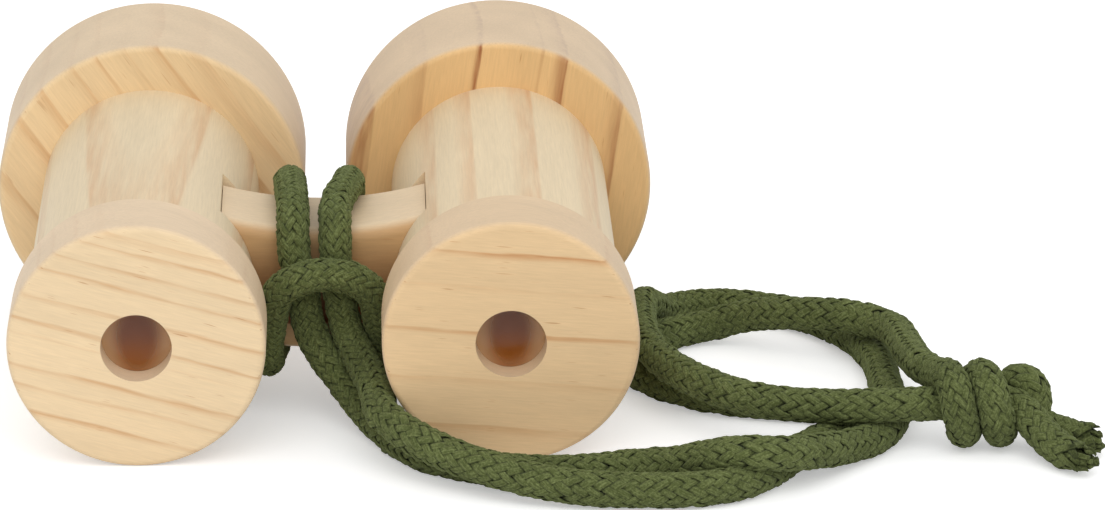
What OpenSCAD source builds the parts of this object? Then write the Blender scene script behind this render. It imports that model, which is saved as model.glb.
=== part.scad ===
// Wooden toy binoculars on a braided neck cord, as they lie on a table.
// The barrels run along Y with the eyepieces towards -Y. Barrel frame: axes in the plane z = 0,
// eyepiece faces at y = 0. The finished object is then tilted on to the table, because the
// objectives are larger than the eyepieces.

/* [Barrels] */
// Distance between the two barrel axes
barrel_spacing = 55; // [52:0.5:64]
// Diameter of an eyepiece
eye_d = 38; // [32:0.5:42]
// Length of an eyepiece along the barrel
eye_len = 12.5; // [11:0.5:18]
// Diameter of the eye hole
eye_hole_d = 10.5; // [6:0.5:16]
// Thickness of the lip round the eye hole
eye_lip = 4; // [2:0.5:5]
// Diameter of a tube
tube_d = 34; // [30:0.5:38]
// Length of tube that shows between eyepiece and objective
tube_len = 53.5; // [44:0.5:80]
// Wall of a tube
tube_wall = 8; // [6:0.5:9]
// Diameter of an objective
obj_d = 48.5; // [44:0.5:51]
// Length of an objective along the barrel
obj_len = 22.5; // [18:0.5:32]
// Wall of an objective round its mouth
obj_wall = 7.25; // [5:0.25:9]
// Rounding of the turned edges
edge_r = 1; // [0.4:0.1:1.8]

/* [Glued joints] */
// Wall of the spigots turned on the tube's ends
spigot_wall = 4; // [3:0.5:5]
// Length of the spigot in the objective
obj_spigot_len = 8; // [5:0.5:10]
// Thickness of wood between that spigot and the mouth
obj_web = 2.5; // [1.5:0.5:5]
// Glue gap on every side of a wooden joint
glue_gap = 0.1; // [0.05:0.05:0.2]

/* [Lenses] */
// Thickness of a lens disc
lens_t = 2; // [1:0.25:3]
// Width of the lens edge that the spigot grips
lens_grip = 1; // [0.5:0.25:2]
// Clearance round and behind a lens
lens_gap = 0.15; // [0.05:0.05:0.3]

/* [Bridge] */
// Tube length left clear between eyepiece and bridge
bridge_gap = 12.5; // [11:0.5:18]
// Depth of the bridge along the barrels
bridge_depth = 16; // [12:0.5:20]
// Thickness of the bridge from its hollow top to its bowed underside
bridge_h = 19.5; // [16:0.5:22]
// Radius of the hollow top
bridge_top_r = 56; // [45:1:90]
// Height of the lowest point of the top over the barrel axes
bridge_top_z = 8.6; // [7:0.2:10]
// Rounding of the bridge's long edges
bridge_edge_r = 2; // [1:0.25:3]
// Depth of the groove in a tube that takes the bridge
groove_depth = 5; // [3:0.5:5.5]

/* [Cord] */
// Diameter of the cord where it lies free
cord_d = 5.2; // [4:0.1:5.2]
// Diameter of the cord in the hitch, where it is drawn tight
tight_d = 5; // [4:0.1:5]
// Diameter of the cord in the knot
knot_d = 4; // [3.5:0.1:4]
// Least clearance between the cord and what it goes round
cord_gap = 0.3; // [0.2:0.05:0.5]

/* [Hidden] */
$fn = 96;
overlap = 1;
barrel_x = barrel_spacing / 2;
obj_y = eye_len + tube_len;
barrel_len = obj_y + obj_len;

// Bores, spigots and lens seats follow from the tube and its walls.
bore_d = tube_d - 2 * tube_wall;
spigot_d = bore_d + 2 * spigot_wall;
socket_d = spigot_d + 2 * glue_gap;
lens_d = bore_d + 2 * lens_grip;
lens_seat_d = lens_d + 2 * lens_gap;
lens_seat_len = lens_t + lens_gap;
eye_spigot_len = eye_len - eye_lip - lens_seat_len;
mouth_d = obj_d - 2 * obj_wall;
mouth_depth = obj_len - obj_spigot_len - glue_gap - obj_web;

// The bridge fills a groove in each tube and stops at the groove's flat floor.
bridge_y = eye_len + bridge_gap;
groove_x = barrel_x - (tube_d / 2 - groove_depth);
bridge_half = groove_x - glue_gap;
bridge_low_r = bridge_top_r + bridge_h;
bridge_centre_z = bridge_top_z + bridge_top_r;

// Rest pose: the rear edges of the eyepieces and of the objectives touch the table.
rest_tilt = atan((obj_d - eye_d) / 2 / obj_y);
eye_edge_r = eye_d / 2 - edge_r;
obj_edge_r = obj_d / 2 - edge_r;
rest_z = edge_r + eye_edge_r * cos(rest_tilt) - edge_r * sin(rest_tilt);
rear_y = edge_r * cos(rest_tilt) - eye_edge_r * sin(rest_tilt) - edge_r;
front_y = (barrel_len - edge_r) * cos(rest_tilt) + obj_edge_r * sin(rest_tilt) + edge_r;
rest_y = -(rear_y + front_y) / 2;

// A point of the barrel frame, placed as the object rests.
function rested(p) = [
    p.x,
    p.y * cos(rest_tilt) - p.z * sin(rest_tilt) + rest_y,
    p.y * sin(rest_tilt) + p.z * cos(rest_tilt) + rest_z
];

// Cow hitch: two loops round the bridge, joined in front by a bight that lies over both strands.
// A loop goes round the four rounded corners of the bridge's section, five points on each.
hitch_off = tight_d / 2 + cord_gap;
hitch_y = bridge_y - hitch_off;
bight_y = hitch_y - tight_d - 2 * cord_gap;
corner_y = [bridge_y + bridge_edge_r, bridge_y + bridge_depth - bridge_edge_r];
corner_step = 22.5;

function rise(x, r) = r - sqrt(r * r - x * x);
function top_z(x) = bridge_top_z + rise(x, bridge_top_r);
function low_z(x) = bridge_top_z - bridge_h + rise(x, bridge_low_r);
function on_corner(x, y, z, a) = [
    x,
    y + (bridge_edge_r + hitch_off) * cos(a),
    z + (bridge_edge_r + hitch_off) * sin(a)
];
// From the front up, over the top, down the back and under: sideways places xs, one for each corner.
function loop_round(xs) = concat(
    [for (i = [0:4]) on_corner(xs[0], corner_y[0], top_z(xs[0]) - bridge_edge_r, 180 - i * corner_step)],
    [for (i = [0:4]) on_corner(xs[1], corner_y[1], top_z(xs[1]) - bridge_edge_r, 90 - i * corner_step)],
    [for (i = [0:4]) on_corner(xs[2], corner_y[1], low_z(xs[2]) + bridge_edge_r, -i * corner_step)],
    [for (i = [0:4]) on_corner(xs[3], corner_y[0], low_z(xs[3]) + bridge_edge_r, -90 - i * corner_step)]
);
function reversed(v) = [for (i = [len(v) - 1:-1:0]) v[i]];

left_loop_x = [-4.6, -5.2, -7.6, -8.7];
right_loop_x = [1.7, 3.8, 7.4, 8.7];
left_exit = [-2.4, hitch_y, -6];
right_exit = [3.2, hitch_y, -6];
bight = [
    [-8.2, bight_y + 4.4, -5],
    [-7.6, bight_y + 2.2, -1],
    [-6.9, bight_y + 0.9, 1.8],
    [-4.4, bight_y, 3.9],
    [-1, bight_y, 4.8],
    [2.4, bight_y, 4.7],
    [5.3, bight_y + 0.6, 3.4],
    [7.3, bight_y + 1.8, 1],
    [7.9, bight_y + 3.8, -2.6],
    [8.6, bight_y + 5, -6]
];
hitch_route = concat(
    [left_exit, [-2.9, hitch_y, -3], [-3.4, hitch_y, 0.5], [-4, hitch_y, 3.5]],
    loop_round(left_loop_x),
    bight,
    reversed(loop_round(right_loop_x)),
    [[1.8, hitch_y, 3.5], [2.2, hitch_y, 0.5], [2.6, hitch_y, -3], right_exit]
);

// Free runs of the cord on the table, from the hitch to the knot.
lying_z = 2.7;
left_run = [
    [-1.2, -22.2, 11], [1.4, -23.4, 7.4], [5, -28.6, 4.2], [10, -38.6, 2.7], [14.6, -46.6, 2.7], [22, -52, 2.7],
    [29, -55, 2.7], [37, -55.5, 2.7], [45, -53.2, 2.7], [51, -54.6, 3.7], [56, -57.2, 6.6], [60, -59.8, 8.2],
    [64, -60.4, 7.9], [68, -57.9, 6.6], [71.8, -53.8, 5.4], [76, -48.4, 3.6], [80.6, -42.8, 2.7], [84, -37, 2.7],
    [86, -28, 2.7], [85.8, -18, 2.7], [85.8, -6, 2.7], [83.5, 7, 2.7], [78.5, 17, 2.7], [72.5, 23, 2.7],
    [66.6, 25.6, 2.7], [61.5, 26.6, 2.7], [57, 25, 2.8], [53.4, 20.6, 3.7], [51.4, 15, 6.3], [49.9, 10, 8.2],
    [49.1, 3, 8.5], [48.9, -5, 8.5], [49.8, -15, 8.5], [52.8, -25, 8.5], [57.8, -33, 8.5], [64, -38.5, 8.5],
    [71.5, -40.8, 8.5], [79.5, -41.4, 8.5], [85.5, -40.6, 7.9]
];
right_run = [
    [5.6, -25, 11.4], [7.2, -31, 9.8], [8.2, -38, 8.6], [8.4, -44, 8.3], [12, -50, 7.2], [17.5, -55, 5.8],
    [24, -59, 4.6], [31, -61.8, 3.6], [38, -63.5, 3], [46, -63.8, 2.7], [54, -63.6, 2.7], [61, -60.4, 2.7],
    [66.2, -53.6, 2.7], [70.2, -46.8, 2.7], [75.2, -40.2, 2.7], [78.5, -33.6, 2.7], [75.4, -26.8, 2.7],
    [67, -24.2, 2.7], [58, -20.5, 2.7], [51, -13.5, 2.7], [47, -5, 2.7], [46.6, 2.5, 2.7], [50.2, 8, 2.7],
    [55.5, 12.2, 2.7], [60.5, 14.4, 3], [66, 12.6, 5], [71, 7.5, 7], [77.5, 2.8, 8.3], [83.5, 0, 8.4],
    [88, -5, 8.4], [89.6, -13, 8.6], [90.3, -22, 9.2]
];

// Knot: the end of the right run takes two turns round the end of the left run.
knot_turn_count = 1.85;
knot_pitch = 5.3;
knot_start_a = 55;
knot_step = 15;
knot_r = knot_d + cord_gap;
knot_y = -38.6;
knot_z = knot_r + lying_z;
knot_start_x = 93.1;
function on_turn(a) = [
    knot_start_x + knot_pitch * (a - knot_start_a) / 360,
    knot_y + knot_r * cos(a),
    knot_z + knot_r * sin(a)
];
knot_turns_path = [
    for (a = [knot_start_a:knot_step:knot_start_a + 360 * knot_turn_count]) on_turn(a)
];
turns_in = [91.2, -30, 10];
turns_tail = [
    [102.2, -34.2, 7.6], [102.5, -34.5, 9.2], [103.4, -35.4, 10.2], [104.9, -36.1, 9.9], [107, -36.4, 8.7],
    [108.2, -37.2, 6.9], [109, -38.7, 5], [110.3, -40.7, 3.5], [112.2, -42.8, 2.7], [114, -44.2, 2.7]
];
core_in = [90.2, knot_y, knot_z];
core_tail = [
    [96.5, knot_y, knot_z], [102, knot_y, knot_z], [103.9, knot_y - 0.3, knot_z - 0.5], [105.6, -42.4, 5],
    [107, -45.8, 3.6], [108.6, -49.2, 2.7], [110.4, -52.2, 2.7], [112, -54.4, 2.7]
];

hitch_points = [for (p = hitch_route) rested(p)];
left_points = concat([hitch_points[0]], left_run, [core_in]);
right_points = concat([hitch_points[len(hitch_points) - 1]], right_run, [turns_in]);
turns_points = concat([turns_in], knot_turns_path, turns_tail);
core_points = concat([core_in], core_tail);

// Sweep of a round section along a route, one ring at each point, with no twist.
cord_sides = 10;
wound_sides = 8;
function unit(v) = v / norm(v);
function heading(pts, i) = unit(pts[min(i + 1, len(pts) - 1)] - pts[max(i - 1, 0)]);
function any_normal(t) = unit(cross(t, abs(t.z) < 0.8 ? [0, 0, 1] : [1, 0, 0]));
function normals(pts, i, found) = i == len(pts)
    ? found
    : let (t = heading(pts, i), n = found[i - 1])
        normals(pts, i + 1, concat(found, [unit(n - (n * t) * t)]));
function ring(p, t, n, d, sides) = [
    for (k = [0:sides - 1]) p + d / 2 * (cos(k * 360 / sides) * n + sin(k * 360 / sides) * cross(t, n))
];
function swept_points(pts, d, sides) = let (ns = normals(pts, 1, [any_normal(heading(pts, 0))])) [
    for (i = [0:len(pts) - 1]) each ring(pts[i], heading(pts, i), ns[i], d, sides)
];
function swept_sides(count, sides) = [
    for (i = [0:count - 2], k = [0:sides - 1])
        let (a = i * sides + k, b = i * sides + (k + 1) % sides)
            each [[a, a + sides, b], [b, a + sides, b + sides]]
];
function swept_caps(count, sides) = [
    for (k = [1:sides - 2]) each [
        [0, k, k + 1],
        [(count - 1) * sides, (count - 1) * sides + k + 1, (count - 1) * sides + k]
    ]
];

module swept(pts, d, sides) {
    polyhedron(
        swept_points(pts, d, sides),
        concat(swept_sides(len(pts), sides), swept_caps(len(pts), sides))
    );
}

// Least distance between a tube's surface and itself, leaving out near neighbours along the route.
function least_gap(pts, d, skip) = min([
    for (i = [0:len(pts) - 1 - skip], j = [i + skip:len(pts) - 1]) norm(pts[i] - pts[j])
]) - d;
hitch_skip = 8;
turns_skip = 8;
echo(hitch_least_gap = least_gap(hitch_route, tight_d, hitch_skip));
echo(knot_least_gap = least_gap(turns_points, knot_d, turns_skip));

wood = "#DDC39A";
face_wood = "#E0BC86";
clear_plastic = "#C9C6CC";
cord_green = "#5A6B3A";

module rest_pose() {
    translate([0, rest_y, rest_z])
        rotate([rest_tilt, 0, 0])
            children();
}

// Turns a profile drawn as radius against length, so that its length runs along +Y.
module turned() {
    rotate([-90, 0, 0])
        rotate_extrude()
            children();
}

// Half section of a turned ring with both outer edges rounded.
module ring_profile(outer_d, length) {
    inner = outer_d / 2 - edge_r;
    square([inner, length]);
    translate([0, edge_r])
        square([outer_d / 2, length - 2 * edge_r]);
    for (y = [edge_r, length - edge_r])
        translate([inner, y])
            circle(edge_r);
}

module eyepiece() {
    socket_y = eye_lip + lens_seat_len;
    turned()
        difference() {
            ring_profile(eye_d, eye_len);
            translate([0, -overlap])
                square([eye_hole_d / 2, eye_len]);
            translate([0, eye_lip])
                square([lens_seat_d / 2, eye_len]);
            translate([0, socket_y])
                square([socket_d / 2, eye_len]);
        }
}

module objective() {
    socket_len = obj_spigot_len + glue_gap;
    turned()
        difference() {
            ring_profile(obj_d, obj_len);
            translate([0, -overlap])
                square([socket_d / 2, socket_len + overlap]);
            translate([0, -overlap])
                square([bore_d / 2, obj_len + 2 * overlap]);
            translate([0, obj_len - mouth_depth])
                square([mouth_d / 2, mouth_depth + overlap]);
        }
}

// A tube in its place on the barrel, with its groove towards the side that inward points to.
module tube(inward) {
    spigot_y = eye_len - eye_spigot_len;
    groove_floor = tube_d / 2 - groove_depth;
    difference() {
        union() {
            translate([0, eye_len, 0])
                turned()
                    square([tube_d / 2, tube_len]);
            translate([0, spigot_y, 0])
                turned()
                    square([spigot_d / 2, eye_spigot_len + tube_len + obj_spigot_len]);
        }
        translate([0, spigot_y - overlap, 0])
            turned()
                square([bore_d / 2, eye_spigot_len + tube_len + obj_spigot_len + 2 * overlap]);
        translate([
            inward > 0 ? groove_floor : -groove_floor - tube_d,
            bridge_y - glue_gap,
            -tube_d
        ])
            cube([tube_d, bridge_depth + 2 * glue_gap, 2 * tube_d]);
    }
}

module lens() {
    translate([0, eye_lip + lens_gap / 2, 0])
        turned()
            square([lens_d / 2, lens_t]);
}

// Section of the bridge across its arc, with its four long edges rounded.
module bridge_section() {
    translate([bridge_top_r + bridge_edge_r, 0])
        square([bridge_h - 2 * bridge_edge_r, bridge_depth]);
    translate([bridge_top_r, bridge_edge_r])
        square([bridge_h, bridge_depth - 2 * bridge_edge_r]);
    for (r = [bridge_top_r + bridge_edge_r, bridge_low_r - bridge_edge_r])
        for (y = [bridge_edge_r, bridge_depth - bridge_edge_r])
            translate([r, y])
                circle(bridge_edge_r);
}

module left_eyepiece() {
    color(face_wood)
        rest_pose()
            translate([-barrel_x, 0, 0])
                eyepiece();
}

module right_eyepiece() {
    color(face_wood)
        rest_pose()
            translate([barrel_x, 0, 0])
                eyepiece();
}

module left_tube() {
    color(wood)
        rest_pose()
            translate([-barrel_x, 0, 0])
                tube(1);
}

module right_tube() {
    color(wood)
        rest_pose()
            translate([barrel_x, 0, 0])
                tube(-1);
}

module left_objective() {
    color(face_wood)
        rest_pose()
            translate([-barrel_x, obj_y, 0])
                objective();
}

module right_objective() {
    color(face_wood)
        rest_pose()
            translate([barrel_x, obj_y, 0])
                objective();
}

module bridge() {
    color(wood)
        rest_pose()
            intersection() {
                translate([0, bridge_y, bridge_centre_z])
                    rotate([-90, 0, 0])
                        rotate_extrude()
                            bridge_section();
                translate([-bridge_half, 0, -obj_d])
                    cube([2 * bridge_half, barrel_len, 2 * obj_d]);
            }
}

module left_lens() {
    color(clear_plastic)
        rest_pose()
            translate([-barrel_x, 0, 0])
                lens();
}

module right_lens() {
    color(clear_plastic)
        rest_pose()
            translate([barrel_x, 0, 0])
                lens();
}

module cord_hitch() {
    color(cord_green)
        swept(hitch_points, tight_d, wound_sides);
}

module left_strand() {
    color(cord_green)
        swept(left_points, cord_d, cord_sides);
}

module right_strand() {
    color(cord_green)
        swept(right_points, cord_d, cord_sides);
}

module knot_turns() {
    color(cord_green)
        swept(turns_points, knot_d, wound_sides);
}

module knot_core() {
    color(cord_green)
        swept(core_points, knot_d, wound_sides);
}

left_eyepiece();
right_eyepiece();
left_tube();
right_tube();
left_objective();
right_objective();
bridge();
left_lens();
right_lens();
cord_hitch();
left_strand();
right_strand();
knot_turns();
knot_core();
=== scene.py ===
# %% [markdown]
# # Toy binoculars of turned pine with a braided cotton cord
# The real toy is seven pieces of plain pine, two clear plastic discs and one green cord.
# All sizes come from the imported CAD frame: this lesson only dresses it, so the frame is loaded first.

# %% Load the imported frame
import math
import bpy
import numpy as np
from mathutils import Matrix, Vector


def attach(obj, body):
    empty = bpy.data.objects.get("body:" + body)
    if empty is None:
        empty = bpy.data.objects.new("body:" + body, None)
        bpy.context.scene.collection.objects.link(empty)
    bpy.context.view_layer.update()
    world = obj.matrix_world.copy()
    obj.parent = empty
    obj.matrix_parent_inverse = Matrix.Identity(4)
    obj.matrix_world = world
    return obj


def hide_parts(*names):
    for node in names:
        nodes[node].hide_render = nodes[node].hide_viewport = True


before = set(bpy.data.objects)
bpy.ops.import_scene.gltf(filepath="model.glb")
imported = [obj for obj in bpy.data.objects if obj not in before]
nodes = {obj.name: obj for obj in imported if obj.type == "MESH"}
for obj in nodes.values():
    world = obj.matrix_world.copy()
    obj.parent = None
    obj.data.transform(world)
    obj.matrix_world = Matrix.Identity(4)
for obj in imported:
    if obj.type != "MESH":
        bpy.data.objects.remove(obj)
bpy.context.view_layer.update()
MM = 0.001
print("CAD nodes:", sorted(nodes))

# %% [markdown]
# ## Camera
# The photograph was taken with a long lens from a little above the table, almost straight behind the
# eyepieces. A long lens keeps the two barrels nearly parallel, so the camera stands far off with a narrow
# view. Aim, angles and distance are the driving values; the place of the camera follows from them.

# %% The camera
SENSOR_WIDTH = 36.0
LENS = 164.78
AIM = Vector((34.5, -20.0, 25.2)) * MM
AZIMUTH = math.radians(2.21)
ELEVATION = math.radians(16.59)
DISTANCE = 764.7 * MM

looking = Vector((
    math.sin(AZIMUTH) * math.cos(ELEVATION),
    math.cos(AZIMUTH) * math.cos(ELEVATION),
    -math.sin(ELEVATION),
))
camera_data = bpy.data.cameras.new("camera")
camera_data.sensor_fit = "HORIZONTAL"
camera_data.sensor_width = SENSOR_WIDTH
camera_data.lens = LENS
camera = bpy.data.objects.new("camera", camera_data)
camera.location = AIM - DISTANCE * looking
camera.rotation_euler = looking.to_track_quat("-Z", "Y").to_euler()
bpy.context.scene.collection.objects.link(camera)
bpy.context.scene.camera = camera
bpy.context.scene.view_settings.view_transform = "Standard"
print("camera at", [round(x / MM, 1) for x in camera.location], "mm")

# %% [markdown]
# ## The cord's route
# One cord about 0.86 m long is hitched round the bridge: its middle lies in front as a bight, each half goes
# round the bridge and out under the bight, wanders over the table and ends in the knot. The route repeats the
# points of the CAD model, in millimetres. Round the bridge, at the crossings and in the knot it
# lies a little tighter than the CAD tubes, because soft cotton presses in where solids can't, and one tail
# reaches a little further.
# The hitch is given in the barrels' own frame. That frame leans, because the eyepieces are smaller than the
# objectives, so two small functions lay its directions and places down as the toy rests.

# %% The barrels' frame at rest
OBJECTIVE_D = 48.5
EYEPIECE_D = 38.0
RIM_SPACING = 66.0  # between the two rims that touch the table
REST_TILT = math.atan((OBJECTIVE_D - EYEPIECE_D) / 2 / RIM_SPACING)
REST_Y = -44.319
REST_Z = 18.864


def leaned(direction):
    """A direction of the barrels' frame, as the toy rests."""
    x, y, z = direction
    c, s = math.cos(REST_TILT), math.sin(REST_TILT)
    return (x, y * c - z * s, y * s + z * c)


def rested(place):
    """A place of the barrels' frame, as the toy rests on the table."""
    x, y, z = leaned(place)
    return (x, y + REST_Y, z + REST_Z)


print("the barrels lean by", round(math.degrees(REST_TILT), 2), "degrees")

# %% Loops round the bridge
HITCH_OFF = 2.55  # from the wood to the cord's middle
BRIDGE_CORNER_Y = (27.0, 39.0)  # middles of its rounded front and back edges
BRIDGE_EDGE_R = 2.0
BRIDGE_TOP_Z = 8.6
BRIDGE_H = 19.5
BRIDGE_TOP_R = 56.0
CORNER_POINTS = 5
LEFT_CORNERS_X = (-4.6, -5.2, -7.6, -8.7)
RIGHT_CORNERS_X = (1.7, 3.8, 7.4, 8.7)


def rise(x, radius):
    """How far a hollow of this radius has risen at x from its lowest line."""
    return radius - math.sqrt(radius * radius - x * x)


def round_corner(x, y, z, first_angle):
    """Points round one rounded corner of the bridge's section."""
    reach = BRIDGE_EDGE_R + HITCH_OFF
    angle_step = 90 / (CORNER_POINTS - 1)
    angles = [math.radians(first_angle - angle_step * i) for i in range(CORNER_POINTS)]
    return [(x, y + reach * math.cos(a), z + reach * math.sin(a)) for a in angles]


def loop_round_bridge(xs):
    """Front, top, back and underside of the bridge, at one sideways place for each corner."""
    bottom_z = BRIDGE_TOP_Z - BRIDGE_H
    top = [BRIDGE_TOP_Z + rise(x, BRIDGE_TOP_R) - BRIDGE_EDGE_R for x in xs[:2]]
    low = [bottom_z + rise(x, BRIDGE_TOP_R + BRIDGE_H) + BRIDGE_EDGE_R for x in xs[2:]]
    near, far = BRIDGE_CORNER_Y
    return (
        round_corner(xs[0], near, top[0], 180)
        + round_corner(xs[1], far, top[1], 90)
        + round_corner(xs[2], far, low[0], 0)
        + round_corner(xs[3], near, low[1], -90)
    )


left_loop = loop_round_bridge(LEFT_CORNERS_X)
right_loop = loop_round_bridge(RIGHT_CORNERS_X)
print("loops:", len(left_loop), "and", len(right_loop), "points")

# %% The hitch, from one end over the bight to the other
HITCH_Y = 22.2
BIGHT_Y = 16.6

bight = [
    (-8.2, BIGHT_Y + 4.4, -5), (-7.6, BIGHT_Y + 2.2, -1), (-6.9, BIGHT_Y + 0.9, 1.8), (-4.4, BIGHT_Y, 3.9),
    (-1, BIGHT_Y, 4.8), (2.4, BIGHT_Y, 4.7), (5.3, BIGHT_Y + 0.6, 3.4), (7.3, BIGHT_Y + 1.8, 1),
    (7.9, BIGHT_Y + 3.8, -2.6), (8.6, BIGHT_Y + 5, -6),
]
left_leg = [(-2.4, HITCH_Y, -6), (-2.9, HITCH_Y, -3), (-3.4, HITCH_Y, 0.5), (-4, HITCH_Y, 3.5)]
right_leg = [(1.8, HITCH_Y, 3.5), (2.2, HITCH_Y, 0.5), (2.6, HITCH_Y, -3), (3.2, HITCH_Y, -6)]
hitch = [rested(p) for p in left_leg + left_loop + bight + right_loop[::-1] + right_leg]
print("hitch:", len(hitch), "points")

# %% The two runs on the table
left_run = [
    (-0.6, -22.2, 11), (2.2, -23.4, 7.4), (5.6, -28.6, 4.2), (10.2, -38.6, 2.7), (14.6, -46.6, 2.7),
    (22, -52, 2.7), (29, -55, 2.7), (37, -55.5, 2.7), (45, -53.2, 2.7), (51, -54.6, 3.5), (56, -57.2, 5.4),
    (60, -59.4, 6.8), (64, -60, 6.8), (68, -57.7, 5.9), (71.8, -53.8, 4.9), (76, -48.4, 3.6),
    (80.6, -42.8, 2.7), (84, -37, 2.7), (86, -28, 2.7), (85.8, -18, 2.7), (85.8, -6, 2.7), (83.5, 7, 2.7),
    (78.5, 17, 2.7), (72.5, 23, 2.7), (66.6, 25.6, 2.7), (61.5, 26.6, 2.7), (57, 25, 2.8), (53.4, 20.6, 3.7),
    (51.4, 15, 6.3), (49.9, 10, 8.2), (49.1, 3, 8.5), (48.9, -5, 8.5), (49.8, -15, 8.5), (52.8, -25, 8.5),
    (57.8, -33, 8.3), (64, -38.5, 7.9), (71.5, -40.9, 7.7), (79.5, -41.5, 7.7), (85.5, -40.7, 7.6),
]
right_run = [
    (5, -25, 11.4), (6.7, -31, 9.8), (8, -38, 8.6), (8.4, -44, 8.3), (12, -50, 7.2), (17.5, -55, 5.8),
    (24, -59, 4.6), (31, -61.8, 3.6), (38, -63.5, 3), (46, -63.8, 2.7), (54, -63.6, 2.7), (61, -60.4, 2.7),
    (66.2, -53.6, 2.7), (70.2, -46.8, 2.7), (75.2, -40.2, 2.7), (78.5, -33.6, 2.7), (75.4, -26.8, 2.7),
    (67, -24.2, 2.7), (58, -20.5, 2.7), (51, -13.5, 2.7), (47, -5, 2.7), (46.6, 2.5, 2.7), (50.2, 8, 2.7),
    (55.5, 12.2, 2.7), (60.5, 14.4, 3), (66, 12.6, 5), (71, 7.5, 7), (77.5, 2.8, 8.3), (83.5, 0, 8.4),
    (87.6, -5, 8.4), (88.8, -13, 8.6), (89.2, -22, 9.2),
]
print("runs:", len(left_run), "and", len(right_run), "points")

# %% [markdown]
# The end of the right run winds round the end of the left run, and both tails leave side by side. The CAD
# tubes are thin here, because solids can't be squeezed. The drawn cord keeps its girth, and its turns press
# into each other as cotton does. The turns are a helix from a few numbers, the tails are listed point by
# point.

# %% The knot
KNOT_R = 4.3
KNOT_X = 92.3
KNOT_Y = -38.6
KNOT_Z = 7.0
KNOT_PITCH = 5.3  # from one turn to the next
KNOT_START = 55  # degrees round the gripped end
KNOT_STEP = 15
KNOT_POINTS = 45

knot_turns = [(90, -30, 10)]
for i in range(KNOT_POINTS):
    angle = math.radians(KNOT_START + KNOT_STEP * i)
    x = KNOT_X + KNOT_PITCH * KNOT_STEP * i / 360
    knot_turns.append((x, KNOT_Y + KNOT_R * math.cos(angle), KNOT_Z + KNOT_R * math.sin(angle)))
turns_tail = [
    (102.4, -34.5, 8.2), (103, -35, 9.4), (104.1, -35.5, 10), (105.4, -36, 9.3), (106.2, -36.5, 7.8),
    (106, -37, 6.2), (105.5, -37.2, 4.7), (106.4, -37.9, 3.4), (108, -39.1, 2.8), (109.8, -40.5, 2.7),
    (111.7, -41.9, 2.7), (113.6, -43.4, 2.7), (115.4, -44.9, 2.7),
]
core = [
    (90.2, KNOT_Y, KNOT_Z), (96.5, KNOT_Y, KNOT_Z), (102, KNOT_Y, KNOT_Z),
    (103.7, KNOT_Y - 0.6, KNOT_Z - 0.7), (105.2, -42.2, 4.9), (107, -45.8, 3.6), (109, -49.2, 2.7),
    (111, -52, 2.7), (112.6, -54.2, 2.7),
]
print("knot:", len(knot_turns + turns_tail), "points round", len(core))

# %% [markdown]
# From tail to tail the cord is one line of five stretches. Pulled tight round the bridge it is a little
# thinner, and where it is bent hard its plait closes up: a strand goes once round in less length of cord.

# %% The whole route
CORD_D = 5.2
HITCH_D = 5.0
FREE_TURN = 25.0  # length of cord in which a strand goes once round
TIGHT_TURN = 17.0

stretches = [
    (core[::-1], CORD_D, FREE_TURN),
    (left_run[::-1], CORD_D, FREE_TURN),
    (hitch, HITCH_D, TIGHT_TURN),
    (right_run, CORD_D, FREE_TURN),
    (knot_turns + turns_tail, CORD_D, TIGHT_TURN),
]
route = np.array([p for points, _, _ in stretches for p in points], float)
route_d = np.array([d for points, d, _ in stretches for _ in points], float)
route_turn = np.array([t for points, _, t in stretches for _ in points], float)
print("whole route:", len(route), "points")

# %% [markdown]
# ## One smooth centreline
# A cord bends evenly, so the listed points are joined by a smooth curve: each piece of it is a cubic
# that leaves a point in the direction its neighbours give. It is then cut into equal short steps, and a cross
# direction is carried along it without twisting, as the plait of a real cord is laid without twist.

# %% The centreline
SPAN_STEPS = 24  # places worked out between two points of the route
STEP = 0.58  # short enough for the strands to curve smoothly
ROUTE_EASE = 10  # passes that even out the route, its girth and its plait
GIRTH_EASE = 40
TURN_EASE = 100


def smooth_curve(points):
    """Cubic spans through the points, with slopes from both neighbours weighted by their distances."""
    gaps = np.linalg.norm(np.diff(points, axis=0), axis=1)
    slopes = np.diff(points, axis=0) / gaps[:, None]
    both = slopes[:-1] * gaps[1:, None] + slopes[1:] * gaps[:-1, None]
    inner = both / (gaps[:-1] + gaps[1:])[:, None]
    slopes = np.vstack([slopes[:1], inner, slopes[-1:]])
    u = np.linspace(0, 1, SPAN_STEPS, endpoint=False)[:, None]
    spans = []
    for i, gap in enumerate(gaps):
        start = (1 + 2 * u) * (1 - u) ** 2 * points[i] + u * (1 - u) ** 2 * gap * slopes[i]
        end = u * u * (3 - 2 * u) * points[i + 1] + u * u * (u - 1) * gap * slopes[i + 1]
        spans.append(start + end)
    return np.vstack(spans + [points[-1:]])


def evened(values, passes):
    """Averages each value with its neighbours, leaving the ends where they are."""
    values = values.copy()
    for _ in range(passes):
        values[1:-1] = (values[:-2] + 2 * values[1:-1] + values[2:]) / 4
    return values


def along(points):
    """The length of the line up to each of its points."""
    return np.concatenate([[0], np.cumsum(np.linalg.norm(np.diff(points, axis=0), axis=1))])


curve = smooth_curve(route)
places = along(curve)
steps = np.linspace(0, places[-1], int(round(places[-1] / STEP)) + 1)
line = np.stack([np.interp(steps, places, curve[:, k]) for k in range(3)], 1)
line = evened(line, ROUTE_EASE)
line_s = along(line)
point_s = places[::SPAN_STEPS]
line_d = evened(np.interp(steps, point_s, route_d), GIRTH_EASE)
line_turn = evened(np.interp(steps, point_s, route_turn), TURN_EASE)
print("cord length:", round(line_s[-1], 1), "mm in", len(line), "steps")

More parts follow.
